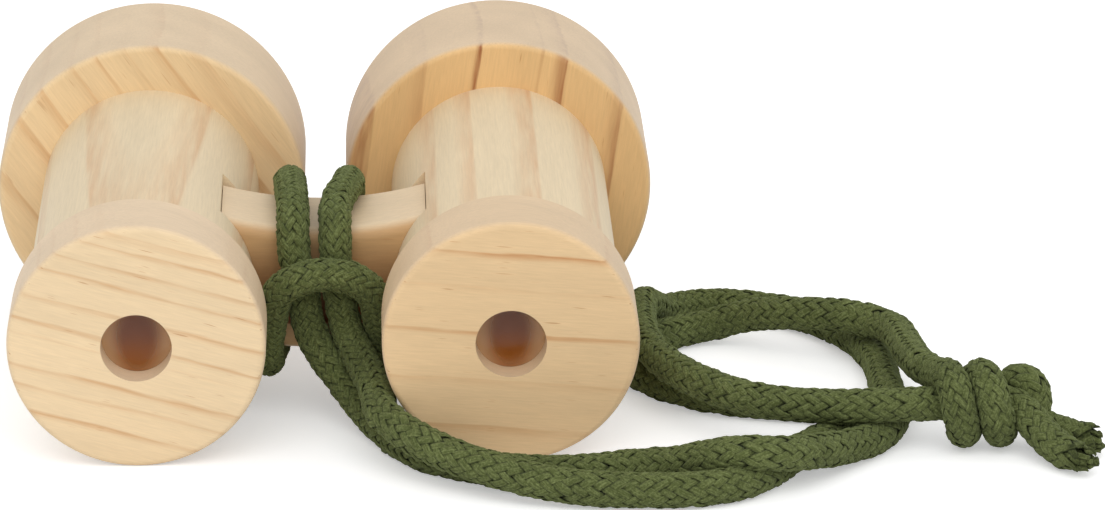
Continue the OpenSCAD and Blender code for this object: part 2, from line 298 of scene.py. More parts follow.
# %% A cross direction that doesn't twist
tangents = np.gradient(line, axis=0)
tangents /= np.linalg.norm(tangents, axis=1)[:, None]
normals = np.zeros_like(line)
carried = np.cross(tangents[0], (0, 0, 1.0))
for i, tangent in enumerate(tangents):
    carried = carried - carried.dot(tangent) * tangent
    carried /= np.linalg.norm(carried)
    normals[i] = carried
binormals = np.cross(tangents, normals)
print("cross direction carried from", normals[0].round(2), "to", normals[-1].round(2))

# %% [markdown]
# ## The braid
# The cord is a round plait of 24 cotton strands, twelve winding each way, each going over two and under two.
# A bump map could fake it, but the plait makes the cord's knobbly outline and its dark little gaps, so every
# strand is modelled: a flat ribbon of yarn on a helix whose radius rises where it lies on top and dips where
# it dives under. Over-two-under-two puts the rises in twelve fixed columns, so one cosine gives the whole
# weave. At the two cut ends the plait comes undone: the strands let go of the helix, bunch over the section
# and end at different lengths. Soft yarn never lies even, so angle, height and width wander a little.

# %% How loose the plait is, and how far it has wound
FRAY_LENGTH = 6.0  # of cord that comes undone
FRAY_OPEN = 1.2  # of it that is wholly undone
FRAY_EASE = 1.5

size = line_d / CORD_D
to_end = np.minimum(line_s, line_s[-1] - line_s)
loose = np.clip((FRAY_LENGTH - to_end) / (FRAY_LENGTH - FRAY_OPEN), 0, 1) ** FRAY_EASE
wound = 2 * math.pi * np.concatenate([[0], np.cumsum(np.diff(line_s) / line_turn[1:])])
print("a strand goes", round(wound[-1] / (2 * math.pi), 1), "times round the cord")

# %% The strands of the plait
STRANDS_EACH_WAY = 12
MEAN_R = 2.19  # from the cord's middle to the plait's
WEAVE = 0.24  # rise and dip of a strand
STRAND_WIDTH = 1.3
STRAND_THICK = 0.5
# A strand's section is crowned above and nearly flat below, in halves of its width and thickness.
SECTION = [(1, 0), (0.55, 0.9), (-0.55, 0.9), (-1, 0), (0, -0.8)]
LEAST_SPREAD = 0.05  # an undone strand lies between this and the full radius
# How much a strand wanders, and how many passes even that out.
ANGLE_WANDER = (0.04, 40)
HEIGHT_WANDER = (0.06, 14)
WIDTH_WANDER = (0.08, 30)
SEED = 11
rng = np.random.default_rng(SEED)


def uneven(amount, passes):
    """Smooth random ups and downs along the cord, about as large as amount."""
    raw = evened(rng.normal(0, 1, len(line)), passes)
    return raw * amount / raw.std()


def strand_rings(hand, first_angle):
    """Rings of points along one strand wound to this hand, with how far it stands proud."""
    angle = hand * wound + first_angle + uneven(*ANGLE_WANDER)
    proud = hand * np.cos(STRANDS_EACH_WAY / 2 * angle)
    plaited = (MEAN_R + WEAVE * proud + uneven(*HEIGHT_WANDER)) * size
    spread = CORD_D / 2 * rng.uniform(LEAST_SPREAD, 1)
    radius = (1 - loose) * plaited + loose * spread
    outward = np.cos(angle)[:, None] * normals + np.sin(angle)[:, None] * binormals
    centre = line + radius[:, None] * outward
    heading = np.gradient(centre, axis=0)
    heading /= np.linalg.norm(heading, axis=1)[:, None]
    side = np.cross(heading, outward)
    side /= np.linalg.norm(side, axis=1)[:, None]
    crown = np.cross(side, heading)
    width = (STRAND_WIDTH / 2 * (1 + uneven(*WIDTH_WANDER)) * size)[:, None]
    thick = STRAND_THICK / 2 * size[:, None]
    rings = [centre + across * width * side + up * thick * crown for across, up in SECTION]
    return np.stack(rings, 1), proud


strands = []
for hand in (1, -1):
    for k in range(STRANDS_EACH_WAY):
        first_angle = (2 * k + (hand < 0)) * math.pi / STRANDS_EACH_WAY
        strands.append(strand_rings(hand, first_angle))
print("plait:", len(strands), "strands, once round in", TIGHT_TURN, "to", FREE_TURN, "mm")

# %% [markdown]
# The cord leaves the bridge twice, so it is kept as two halves that meet in the middle of the bight.
# Each half is one mesh: its stretch of every strand, closed at both ends, and a plain core inside so that
# nothing shows through the gaps. Three numbers are stored on each point for the material: how far along the
# strand it is, how far across, and how proud the strand lies, which the material turns into painted light and
# shade. Frayed strands count as fairly proud and are painted lit up to their tips, which are darker. The core
# is painted in the gaps' deep shade until it comes out at the cut end, where it is painted lit.

# %% A stretch of one strand, and of the core
FRAY_CUT = 2.2  # the most by which a strand is cut short
# Frayed strands are painted fairly lit, on the scale of how proud a strand lies, and darker at their tips.
FRAY_PAINTED_LIGHT = 0.35
TIP_DARK = 0.6
TIP_LENGTH = 0.9
STRAND_SHIFT = 37  # so that no two strands show the same streaks
CORE_R = 1.7
CORE_SIDES = 8
CORE_CUT = 0.55  # the core ends this far inside
CORE_TAPER = 0.75
# The hidden core is painted in deep shade, and painted lit where the cut end lays it open.
CORE_PAINTED_SHADE = -1.5
CORE_PAINTED_LIGHT = 0.5
cuts = rng.uniform(0, FRAY_CUT, len(strands))


def steps_inside(part, cut):
    """The steps of part that are at least cut mm from the cord's ends."""
    whole = np.arange(part.start, part.stop)
    return whole[to_end[whole] >= cut]


def strand_part(number, part):
    """Rings of one strand over the steps in part, and the three numbers on their points."""
    rings, proud = strands[number]
    kept = steps_inside(part, cuts[number])
    tip = np.clip(1 - (to_end[kept] - cuts[number]) / TIP_LENGTH, 0, 1)
    height = proud[kept] * (1 - loose[kept]) + FRAY_PAINTED_LIGHT * loose[kept] - TIP_DARK * tip
    lengthwise = np.repeat(line_s[kept] + STRAND_SHIFT * number, len(SECTION))
    crosswise = np.tile([across for across, _ in SECTION], len(kept))
    return rings[kept], np.stack([lengthwise, crosswise, np.repeat(height, len(SECTION))], 1)


def core_part(part):
    """The same for the core, which thins out in the ends and is painted in deep shade until they are half
    undone, then painted lit.
    """
    kept = steps_inside(part, CORE_CUT)
    turned = np.radians(np.arange(CORE_SIDES) * 360 / CORE_SIDES)[:, None]
    spokes = np.cos(turned) * normals[kept][:, None] + np.sin(turned) * binormals[kept][:, None]
    radius = CORE_R * size[kept] * (1 - CORE_TAPER * loose[kept])
    height = CORE_PAINTED_SHADE + (CORE_PAINTED_LIGHT - CORE_PAINTED_SHADE) * np.minimum(1, 2 * loose[kept])
    numbers = np.zeros((len(kept) * CORE_SIDES, 3))
    numbers[:, 2] = np.repeat(height, CORE_SIDES)
    return line[kept][:, None] + radius[:, None, None] * spokes, numbers


print("strands are cut", cuts.min().round(2), "to", cuts.max().round(2), "mm short of the ends")

# %% Two halves of cord as meshes
BIGHT_MIDDLE = (0.7, BIGHT_Y, 4.8)


def tube_faces(first, rings, sides):
    """Faces of a tube with closed ends, whose points start at number first."""
    faces = []
    for i in range(rings - 1):
        for k in range(sides):
            a = first + i * sides + k
            b = first + i * sides + (k + 1) % sides
            faces.append((a, b, b + sides, a + sides))
    faces.append(tuple(first + k for k in reversed(range(sides))))
    faces.append(tuple(first + (rings - 1) * sides + k for k in range(sides)))
    return faces


def cord_half(name, part):
    """A mesh of all the strands and the core over the steps in part."""
    points, faces, numbers = [], [], []
    first = 0
    tubes = [strand_part(number, part) for number in range(len(strands))]
    for rings, on_points in tubes + [core_part(part)]:
        count, sides, _ = rings.shape
        points.append(rings.reshape(-1, 3))
        numbers.append(on_points)
        faces += tube_faces(first, count, sides)
        first += count * sides
    mesh = bpy.data.meshes.new(name)
    mesh.from_pydata(np.vstack(points) * MM, [], faces)
    mesh.shade_smooth()
    for column, label in enumerate(("along", "across", "proud")):
        attribute = mesh.attributes.new(label, "FLOAT", "POINT")
        attribute.data.foreach_set("value", np.vstack(numbers)[:, column].astype(np.float32))
    half = bpy.data.objects.new(name, mesh)
    bpy.context.scene.collection.objects.link(half)
    return half


middle = int(np.argmin(np.linalg.norm(line - rested(BIGHT_MIDDLE), axis=1)))
left_steps = slice(0, middle + 1)
right_steps = slice(middle, len(line))
cord_left = cord_half("cord_left", left_steps)
cord_right = cord_half("cord_right", right_steps)
print("cord faces:", len(cord_left.data.polygons), "and", len(cord_right.data.polygons))

# %% [markdown]
# Each half is attached to the toy's root. It stands for the plain tubes of the CAD model, which are hidden.

# %% Attaching the cord
for half, part, leaves_at, stands_for in (
    (cord_left, left_steps, hitch[0], ("cord_hitch", "left_strand", "knot_core")),
    (cord_right, right_steps, hitch[-1], ("right_strand", "knot_turns")),
):
    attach(half, "root")
    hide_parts(*stands_for)

# %% [markdown]
# ## Colours and nodes
# Colours are written as the hex values one reads off a screen, and one function turns them into the linear
# values that Blender computes with. One more function adds a shader node, sets it and links it, which keeps
# every material below readable as a list of what is done to the surface. The Mix node has its sockets for
# every kind of data side by side, so its colour sockets are named here by their numbers.

# %% Helpers for materials
COLOUR_A = 6
COLOUR_B = 7
COLOUR_RESULT = 2


def linear(hex_colour):
    """An sRGB hex colour as linear red, green, blue and alpha."""
    channels = [int(hex_colour[i:i + 2], 16) / 255 for i in (1, 3, 5)]
    return [c / 12.92 if c <= 0.04045 else ((c + 0.055) / 1.055) ** 2.4 for c in channels] + [1.0]


def add_node(tree, kind, inputs=None, stops=None, **settings):
    """Adds a node: inputs maps sockets to values, nodes or sockets, and stops are a ramp's (place, grey)."""
    made = tree.nodes.new("ShaderNode" + kind)
    for name, value in settings.items():
        setattr(made, name, value)
    for socket, value in (inputs or {}).items():
        if isinstance(value, bpy.types.Node):
            value = value.outputs[0]
        if isinstance(value, bpy.types.NodeSocket):
            tree.links.new(value, made.inputs[socket])
        else:
            made.inputs[socket].default_value = value
    if stops:
        elements = made.color_ramp.elements
        elements.remove(elements[1])
        for i, (place, grey) in enumerate(stops):
            element = elements[0] if i == 0 else elements.new(place)
            element.position = place
            element.color = (grey, grey, grey, 1)
    return made


def new_material(name):
    """A material with its node tree and its shader."""
    material = bpy.data.materials.new(name)
    material.use_nodes = True
    tree = material.node_tree
    return material, tree, tree.nodes["Principled BSDF"]


print("a screen's middle grey, #808080, is", round(linear("#808080")[0], 3), "in linear light")

# %% [markdown]
# ## Cotton
# The cord is cotton yarn, dyed moss green and plaited. Cotton is matt and a little fuzzy: it has no
# highlight. Light and shade are painted into its colour: the crowns of the strands are painted paler where
# fibres catch light, and the gaps and the edges of the strands are painted nearly black-green as painted
# shade. Each strand is a few yarns side by side, seen as fine lines along it. The three numbers stored
# on the points tell the material where it is, so nothing has to be unwrapped. Cotton fibres are about 0.02 mm
# thick, far too fine to show, so the fuzz is drawn at a third of a millimetre.

# %% Dyed cotton, plaited: yarns, fuzz and dye
YARN_WIDTH = 0.36
YARN_STREAK = 2.5
YARN_CELLS = 1.6  # streaks to a yarn
FUZZ_SIZE = 0.35
DYE_PATCH = 5.0

cotton, tree, shader = new_material("plaited_cotton_moss_green")
lengthwise = add_node(tree, "Attribute", attribute_name="along").outputs["Fac"]
crosswise = add_node(tree, "Attribute", attribute_name="across").outputs["Fac"]
proud = add_node(tree, "Attribute", attribute_name="proud").outputs["Fac"]
in_yarns = add_node(tree, "CombineXYZ", {0: lengthwise, 1: crosswise})
streak_size = (1 / YARN_STREAK, STRAND_WIDTH / 2 / YARN_WIDTH, 1)
streaked = add_node(tree, "VectorMath", {0: in_yarns, 1: streak_size}, operation="MULTIPLY")
yarns = add_node(
    tree, "TexNoise", {"Vector": streaked, "Scale": YARN_CELLS, "Detail": 3.0, "Roughness": 0.65}
)
place = add_node(tree, "TexCoord").outputs["Object"]
fuzz = add_node(
    tree, "TexNoise", {"Vector": place, "Scale": 1 / (FUZZ_SIZE * MM), "Detail": 3.0, "Roughness": 0.7}
)
dye = add_node(tree, "TexNoise", {"Vector": place, "Scale": 1 / (DYE_PATCH * MM), "Detail": 2.0})
fibre_tone = add_node(tree, "Math", {0: yarns, 1: fuzz}, operation="ADD")
print("yarns", YARN_WIDTH, "mm wide, fuzz drawn at", FUZZ_SIZE, "mm, dye uneven over", DYE_PATCH, "mm")

# %% Dyed cotton, plaited: painted light on the crowns, painted shade in the gaps
COTTON_MID = "#4F5730"
COTTON_CROWN_PAINTED_LIGHT = "#7C8555"
COTTON_GAP_PAINTED_SHADE = "#12170A"
GAP_HEIGHT = -0.7
CROWN_HEIGHT = 0.45
# A strand is painted darker towards its edges: painted shade where it goes under its neighbours.
EDGE_POWER = 4.0
EDGE_FROM = 0.3
EDGE_LIGHT = 0.2
PALE_TONES = (0.9, 1.3)
# Most of Blender's noise lies between these two values.
NOISE_LOW = 0.3
NOISE_HIGH = 0.7
DYE_TONES = (0.86, 1.12)

# Painted light and shade: low strands and the edges of strands take the gaps' painted shade, and lit crowns
# turn pale as painted light.
painted_light_by_height = add_node(tree, "MapRange", {"Value": proud, "From Min": GAP_HEIGHT, "From Max": CROWN_HEIGHT})
edge = add_node(tree, "Math", {0: crosswise, 1: EDGE_POWER}, operation="POWER")
inside = add_node(
    tree, "MapRange",
    {"Value": edge, "From Min": EDGE_FROM, "From Max": 1.0, "To Min": 1.0, "To Max": EDGE_LIGHT},
)
painted_light_mask = add_node(tree, "Math", {0: painted_light_by_height, 1: inside}, operation="MULTIPLY", use_clamp=True)
ground_in_painted_shade = add_node(
    tree, "Mix", {0: painted_light_mask, COLOUR_A: linear(COTTON_GAP_PAINTED_SHADE), COLOUR_B: linear(COTTON_MID)}, data_type="RGBA"
)
pale = add_node(
    tree, "MapRange", {"Value": fibre_tone, "From Min": PALE_TONES[0], "From Max": PALE_TONES[1]}
)
pale_in_painted_light = add_node(tree, "Math", {0: pale, 1: painted_light_mask}, operation="MULTIPLY")
coloured = add_node(
    tree, "Mix", {0: pale_in_painted_light, COLOUR_A: ground_in_painted_shade.outputs[COLOUR_RESULT], COLOUR_B: linear(COTTON_CROWN_PAINTED_LIGHT)},
    data_type="RGBA",
)
dye_tone = add_node(
    tree, "MapRange",
    {
        "Value": dye, "From Min": NOISE_LOW, "From Max": NOISE_HIGH,
        "To Min": DYE_TONES[0], "To Max": DYE_TONES[1],
    },
)
dyed = add_node(
    tree, "Mix", {0: 1.0, COLOUR_A: coloured.outputs[COLOUR_RESULT], COLOUR_B: dye_tone}, data_type="RGBA",
    blend_type="MULTIPLY",
)
tree.links.new(dyed.outputs[COLOUR_RESULT], shader.inputs["Base Color"])
print("cotton from", COTTON_GAP_PAINTED_SHADE, "in the gaps to", COTTON_CROWN_PAINTED_LIGHT, "on the crowns")

# %% Dyed cotton, plaited: a matt surface with a little fuzz
FUZZ_HEIGHT = 0.15
COTTON_SHEEN = "#A9B489"

bump = add_node(tree, "Bump", {"Height": fibre_tone, "Strength": 0.7, "Distance": FUZZ_HEIGHT * MM})
tree.links.new(bump.outputs[0], shader.inputs["Normal"])
shader.inputs["Roughness"].default_value = 0.95
shader.inputs["Specular IOR Level"].default_value = 0.1
shader.inputs["Sheen Weight"].default_value = 0.2
shader.inputs["Sheen Roughness"].default_value = 0.6
shader.inputs["Sheen Tint"].default_value = linear(COTTON_SHEEN)
for half in (cord_left, cord_right):
    half.data.materials.append(cotton)
print("cotton:", cotton.name, "with", len(tree.nodes), "nodes")

# %% [markdown]
# ## Pine
# Every wooden piece is turned or sawn from its own board, so each has its own grain. A board is a slice of a
# log: its growth rings are cylinders round a pith that lies outside the piece. Each ring is pale early wood
# that slowly darkens outwards and stops sharply. The material therefore measures every point in the board's
# own frame, in millimetres: along the fibres, across them, and out from the pith, and a ramp holds the rings.
# Image maps would stretch round the turned forms; a solid pattern is cut open by them as real wood is.

# %% Growth rings as a ramp
RING_SPAN = 64.0  # mm of board that the ramp covers
RING_EDGE = 0.3  # mm in which the dark ends


def ring_stops(rings):
    """Ramp stops for rings of (place, strength, fade): dark grows over fade and ends sharply at place."""
    stops = []
    for place, strength, fade in sorted(rings):
        for at, grey in ((place - fade, 0.0), (place - RING_EDGE, strength), (place, 0.0)):
            stops.append((at / RING_SPAN + 0.5, grey))
    return stops


print("a ring that ends 5 mm out makes the stops", ring_stops([(5.0, 1.0, 2.0)]))

# %% A board's own frame, and noise stretched along its fibres


def board_axes(tree, centre, fibre, outward):
    """Sockets with the mm along the fibres, across them and outwards, counted from the piece's centre."""
    fibre = Vector(fibre).normalized()
    outward = Vector(outward).normalized()
    place = add_node(tree, "TexCoord").outputs["Object"]
    in_mm = add_node(tree, "VectorMath", {0: place, "Scale": 1 / MM}, operation="SCALE")
    local = add_node(tree, "VectorMath", {0: in_mm, 1: rested(centre)}, operation="SUBTRACT")
    axes = []
    for axis in (fibre, outward.cross(fibre), outward):
        measured = add_node(tree, "VectorMath", {0: local, 1: leaned(axis)}, operation="DOT_PRODUCT")
        axes.append(measured.outputs["Value"])
    return axes


def grain_noise(tree, board, grain, **settings):
    """Noise whose spots have grain's length along the fibres and its width across them, in mm."""
    length, width = grain
    per_mm = (1 / length, 1 / width, 1 / width)
    stretched = add_node(tree, "VectorMath", {0: board, 1: per_mm}, operation="MULTIPLY")
    return add_node(tree, "TexNoise", {"Vector": stretched, "Scale": 1.0, **settings})


print("fibres along the barrel point to", [round(x, 3) for x in leaned((0, 1, 0))], "as the toy rests")

# %% [markdown]
# Late wood is the dark part of a ring. No log is a perfect cylinder, so the rings drift along the board by
# slope, wander by some tenths of a millimetre, have rough edges along the fibres and are broken in places.

# %% Late wood
# Length along the fibres and width across them, in mm.
RING_SWAY = (70, 16)
RING_RAGS = (11, 1.0)
RING_BREAKS = (15, 1.6)
BREAKS_LOW = 0.32
BREAKS_HIGH = 0.6
UNBROKEN = 1.1


def late_wood(
    tree, axes, board, pith, rings, slope=0.0, wander=0.7, rough=1.1, broken=0.3, growth=1.7
):
    """How much late wood there is at each point; the pith lies that many mm behind the piece's centre."""
    along_fibre, across, outward = axes
    from_pith = add_node(tree, "Math", {0: outward, 1: pith}, operation="ADD")
    flat = add_node(tree, "CombineXYZ", {0: across, 1: from_pith})
    radius = add_node(tree, "VectorMath", {0: flat}, operation="LENGTH").outputs["Value"]
    drift = add_node(tree, "Math", {0: along_fibre, 1: -slope, 2: radius}, operation="MULTIPLY_ADD")
    sway = grain_noise(tree, board, RING_SWAY, Detail=1.0)
    swayed = add_node(tree, "Math", {0: sway, 1: 2 * wander, 2: drift}, operation="MULTIPLY_ADD")
    rags = grain_noise(tree, board, RING_RAGS, Detail=3.0)
    ragged = add_node(tree, "Math", {0: rags, 1: rough, 2: swayed}, operation="MULTIPLY_ADD")
    ramp_start = 0.5 - (pith + wander + rough / 2) / RING_SPAN
    place = add_node(
        tree, "Math", {0: ragged, 1: 1 / RING_SPAN, 2: ramp_start}, operation="MULTIPLY_ADD"
    )
    ringed = add_node(tree, "ValToRGB", {0: place}, stops=ring_stops(rings))
    grown = add_node(tree, "Math", {0: ringed, 1: growth}, operation="POWER")
    breaks = grain_noise(tree, board, RING_BREAKS, Detail=2.0)
    whole = add_node(
        tree, "MapRange",
        {
            "Value": breaks, "From Min": BREAKS_LOW, "From Max": BREAKS_HIGH,
            "To Min": broken, "To Max": UNBROKEN,
        },
    )
    return add_node(tree, "Math", {0: grown, 1: whole}, operation="MULTIPLY")


print("rings wander over", RING_SWAY, "mm and are rough over", RING_RAGS, "mm")

# %% [markdown]
# Sanding leaves pine matt with a faint gloss, and the eye sees fine pale and dark fibres, broad soft bands
# and short brown dashes, which are cut resin ducts. Real fibres are about 0.03 mm wide, too fine to show, so
# they are drawn ten times as wide. The rim of a disc is greyer, with the rings hardly seen, so faces that
# don't look along the barrel can have a tone of their own. On the bridge that tone makes the top paler than
# the front, which is painted light.

# %% A rim of another tone
RIM_FROM = 0.05
RIM_TO = 0.7
RIM_MOST = 0.78


def with_rim(tree, wood, band, shade):
    """Wood on the faces that look along the barrel, and mostly the shaded band on those that don't."""
    rim_wood = add_node(
        tree, "Mix", {0: 1.0, COLOUR_A: linear(band), COLOUR_B: shade}, data_type="RGBA",
        blend_type="MULTIPLY",
    )
    normal = add_node(tree, "TexCoord").outputs["Normal"]
    facing = add_node(tree, "VectorMath", {0: normal, 1: leaned((0, 1, 0))}, operation="DOT_PRODUCT")
    facing = facing.outputs["Value"]
    squared = add_node(tree, "Math", {0: facing, 1: facing}, operation="MULTIPLY")
    turned_away = add_node(
        tree, "MapRange",
        {"Value": squared, "From Min": RIM_FROM, "From Max": RIM_TO, "To Min": RIM_MOST, "To Max": 0.0},
    )
    return add_node(
        tree, "Mix", {0: turned_away, COLOUR_A: wood, COLOUR_B: rim_wood.outputs[COLOUR_RESULT]},
        data_type="RGBA",
    )


print("the rim's tone covers up to", RIM_MOST, "of the wood")

# %% Sanded pine, one board at a time
FIBRES = (5, 0.3)
FIBRE_TONES = (0.93, 1.05)
BROAD_BANDS = (60, 7)
BROAD_TONES = (0.95, 1.04)
RESIN = "#A9672F"
RESIN_DUCTS = (4.0, 0.3)
DUCT_NOISE = (0.76, 0.86)
SANDED_DEPTH = 0.05


def pine(name, centre, fibre, outward, early, late, flecks=0.5, band=None, **growth_rings):
    """Sanded pine of one board, with early and late wood, resin flecks and the rim's band of colour."""
    material, tree, shader = new_material(name)
    axes = board_axes(tree, centre, fibre, outward)
    board = add_node(tree, "CombineXYZ", {0: axes[0], 1: axes[1], 2: axes[2]})
    dark = late_wood(tree, axes, board, **growth_rings)
    ringed = add_node(
        tree, "Mix", {0: dark, COLOUR_A: linear(early), COLOUR_B: linear(late)}, data_type="RGBA"
    )
    fibres = grain_noise(tree, board, FIBRES, Detail=4.0, Roughness=0.65)
    broad = grain_noise(tree, board, BROAD_BANDS, Detail=2.0)
    shades = [
        add_node(
            tree, "MapRange",
            {"Value": noise, "From Min": NOISE_LOW, "From Max": NOISE_HIGH, "To Min": dim, "To Max": bright},
        )
        for noise, (dim, bright) in ((fibres, FIBRE_TONES), (broad, BROAD_TONES))
    ]
    shade = add_node(tree, "Math", {0: shades[0], 1: shades[1]}, operation="MULTIPLY")
    shaded = add_node(
        tree, "Mix", {0: 1.0, COLOUR_A: ringed.outputs[COLOUR_RESULT], COLOUR_B: shade}, data_type="RGBA",
        blend_type="MULTIPLY",
    )
    ducts = grain_noise(tree, board, RESIN_DUCTS, Detail=0.0)
    resin = add_node(
        tree, "MapRange",
        {"Value": ducts, "From Min": DUCT_NOISE[0], "From Max": DUCT_NOISE[1], "To Max": flecks},
    )
    wood = add_node(
        tree, "Mix", {0: resin, COLOUR_A: shaded.outputs[COLOUR_RESULT], COLOUR_B: linear(RESIN)},
        data_type="RGBA",
    )
    if band:
        wood = with_rim(tree, wood.outputs[COLOUR_RESULT], band, shade)
    bump = add_node(tree, "Bump", {"Height": fibres, "Strength": 0.25, "Distance": SANDED_DEPTH * MM})
    tree.links.new(wood.outputs[COLOUR_RESULT], shader.inputs["Base Color"])
    tree.links.new(bump.outputs[0], shader.inputs["Normal"])
    shader.inputs["Roughness"].default_value = 0.55
    shader.inputs["Specular IOR Level"].default_value = 0.35
    return material


print("fibres drawn", FIBRES[1], "mm wide, resin ducts", RESIN_DUCTS[0], "mm long")

# %% [markdown]
# The eyepieces and objectives are discs turned from a flat board, so the fibres cross their faces: the rings
# show as straight lines over the face. The tubes are turned along the grain and have stripes along them. The
# bridge is sawn with its fibres from barrel to barrel. Each board's rings are placed in mm from the piece's
# centre, where the photograph shows its main lines.

# %% Boards of the eyepieces and tubes
HALF_SPACING = 27.5
TUBE_MIDDLE = 42
LEFT_FALL = 16.0
RIGHT_FALL = 5.0


def across_face(angle):
    """Fibre and outward directions for a face whose lines fall to the right by angle degrees."""
    a = math.radians(angle)
    return dict(fibre=(math.cos(a), 0, -math.sin(a)), outward=(math.sin(a), 0, math.cos(a)))


boards = {
    "left_eyepiece": dict(
        centre=(-HALF_SPACING, 0, 0), **across_face(LEFT_FALL), pith=150,
        rings=[
            (16.8, 0.6, 2.2), (14.6, 0.8, 1.2), (11.5, 0.8, 1.1), (8.9, 0.9, 1.2), (4.4, 0.8, 1.5),
            (0.5, 1.0, 1.0), (-1.6, 0.5, 0.8), (-6.3, 0.9, 1.6), (-9.3, 0.8, 1.2), (-13.1, 0.9, 1.4),
        ],
        early="#EBD1A9", late="#CE9F6E", band="#E2CBAE",
    ),
    "right_eyepiece": dict(
        centre=(HALF_SPACING, 0, 0), **across_face(RIGHT_FALL), pith=200,
        rings=[(14.3, 0.9, 1.6), (8.9, 0.4, 1.4), (1.7, 1.0, 1.2), (-5.5, 0.5, 2.0), (-13.0, 0.6, 3.0)],
        early="#E4C497", late="#C58D58", band="#DDC4A4",
    ),
    "left_tube": dict(
        centre=(-HALF_SPACING - 0.5, TUBE_MIDDLE, 0), fibre=(0.025, 1, 0), outward=(0, 0, -1), pith=40,
        rings=[(-13.2, 0.8, 3.4), (-2.5, 0.8, 3.0), (3.0, 0.8, 3.0), (9.0, 0.8, 3.5), (15.0, 0.8, 3.5)],
        early="#E6D3B1", late="#D9B790", slope=0.0565, wander=0.3, rough=0.3, growth=0.7, flecks=0.0,
    ),
    "right_tube": dict(
        centre=(HALF_SPACING, TUBE_MIDDLE, 0), fibre=(0, 1, 0), outward=(1, 0, 0), pith=70,
        rings=[(-8.9, 0.6, 3.2), (-2.5, 0.6, 3.2), (7.0, 0.9, 4.0), (15.0, 0.7, 3.0)],
        early="#E6D2AF", late="#DAB58D", wander=0.3, rough=0.3, growth=0.7, flecks=0.0,
    ),
}
print("boards so far:", list(boards))

# %% Boards of the objectives and the bridge
boards |= {
    "left_objective": dict(
        centre=(-HALF_SPACING, RIM_SPACING, 0), fibre=(0.57, 0, -0.82), outward=(0.82, -0.08, 0.57), pith=160,
        rings=[
            (-17.0, 0.8, 3.0), (-9.0, 0.8, 3.5), (-3.5, 0.8, 3.0), (2.2, 0.7, 2.0), (6.3, 0.7, 2.0),
            (10.8, 0.4, 2.5), (15.3, 0.9, 3.0), (20.0, 0.6, 3.0),
        ],
        early="#EBCD9F", late="#D0A06C", band="#DCC7AB", flecks=0.25,
    ),
    "right_objective": dict(
        centre=(HALF_SPACING, RIM_SPACING, 0), fibre=(-0.139, 0, -0.99), outward=(0.99, 0, -0.139), pith=160,
        rings=[
            (-21.0, 0.8, 7.0), (-13.5, 0.4, 3.0), (-5.3, 1.0, 1.3), (4.0, 0.5, 0.8), (8.1, 0.8, 3.0),
            (17.8, 0.6, 3.0),
        ],
        early="#E4BC84", late="#8F4A1C", band="#DAC6AC", growth=1.2,
    ),
    # The bridge's one broad ring darkens its front downwards to a sharp edge: partly its reddish late wood,
    # partly painted shade from the barrels and the hitch. Its band makes the top paler than the front, which
    # is painted light.
    "bridge": dict(
        centre=(0, 33, -2), fibre=(1, 0, 0), outward=(0, 0.1, -1), pith=120,
        rings=[(4.0, 1.0, 13.0)],
        early="#C8A070", late="#86481A", band="#EAD6B6", rough=0.3, broken=0.9, growth=0.9, flecks=0.2,
    ),
}
for piece, board in boards.items():
    wood = pine("sanded_pine_" + piece, **board)
    nodes[piece].data.materials.clear()
    nodes[piece].data.materials.append(wood)
print("pine boards:", len(boards))

# %% [markdown]
# ## Clear plastic discs
# A clear acrylic disc sits behind each eye hole. It is polished, so one sees the dark bore through it and a
# soft reflection on it. Glass shading is another way, but hardly any light gets down the narrow bore. A flat
# disc bends no picture, so it is drawn as a haze painted with the bore's light and shade behind it: painted
# shade, brown, where one looks deep into it, painted bounce light, amber, below, and painted light, paler,
# at both sides, where its wall is near and lit.

# %% Clear acrylic, polished: the bore's painted light and shade
# Painted shade deep in the bore, painted bounce light below and painted light on the near walls at both
# sides.
BORE_DEEP_PAINTED_SHADE = "#855440"
BORE_LOW_PAINTED_BOUNCE = "#9F5A1E"
BORE_SIDE_PAINTED_LIGHT = "#EDC090"
EYE_HOLE_R = 5.25
DISC_Y = 3
HEIGHT_SHARE = 0.6  # heights count for less, so the pale wall shows at the sides
SIDE_FROM = 0.35 * EYE_HOLE_R
SIDE_MOST = 0.9
LOW_FROM = 1.5
LOW_FULL = -0.7 * EYE_HOLE_R
eye_z = rested((HALF_SPACING, DISC_Y, 0))[2]

acrylic, tree, shader = new_material("clear_acrylic_polished")
place = add_node(tree, "TexCoord").outputs["Object"]
in_mm = add_node(tree, "VectorMath", {0: place, "Scale": 1 / MM}, operation="SCALE")
spot = add_node(tree, "SeparateXYZ", {0: in_mm}).outputs
from_middle = add_node(tree, "Math", {0: spot["X"]}, operation="ABSOLUTE")
beside_axis = add_node(tree, "Math", {0: from_middle, 1: HALF_SPACING}, operation="SUBTRACT")
above_axis = add_node(
    tree, "Math", {0: spot["Z"], 1: HEIGHT_SHARE, 2: -HEIGHT_SHARE * eye_z}, operation="MULTIPLY_ADD"
)
in_hole = add_node(tree, "CombineXYZ", {0: beside_axis, 1: above_axis})
from_centre = add_node(tree, "VectorMath", {0: in_hole}, operation="LENGTH").outputs["Value"]
painted_side_light = add_node(
    tree, "MapRange",
    {"Value": from_centre, "From Min": SIDE_FROM, "From Max": EYE_HOLE_R, "To Max": SIDE_MOST},
    interpolation_type="SMOOTHSTEP",
)
low = add_node(
    tree, "MapRange", {"Value": spot["Z"], "From Min": eye_z + LOW_FROM, "From Max": eye_z + LOW_FULL},
    interpolation_type="SMOOTHSTEP",
)
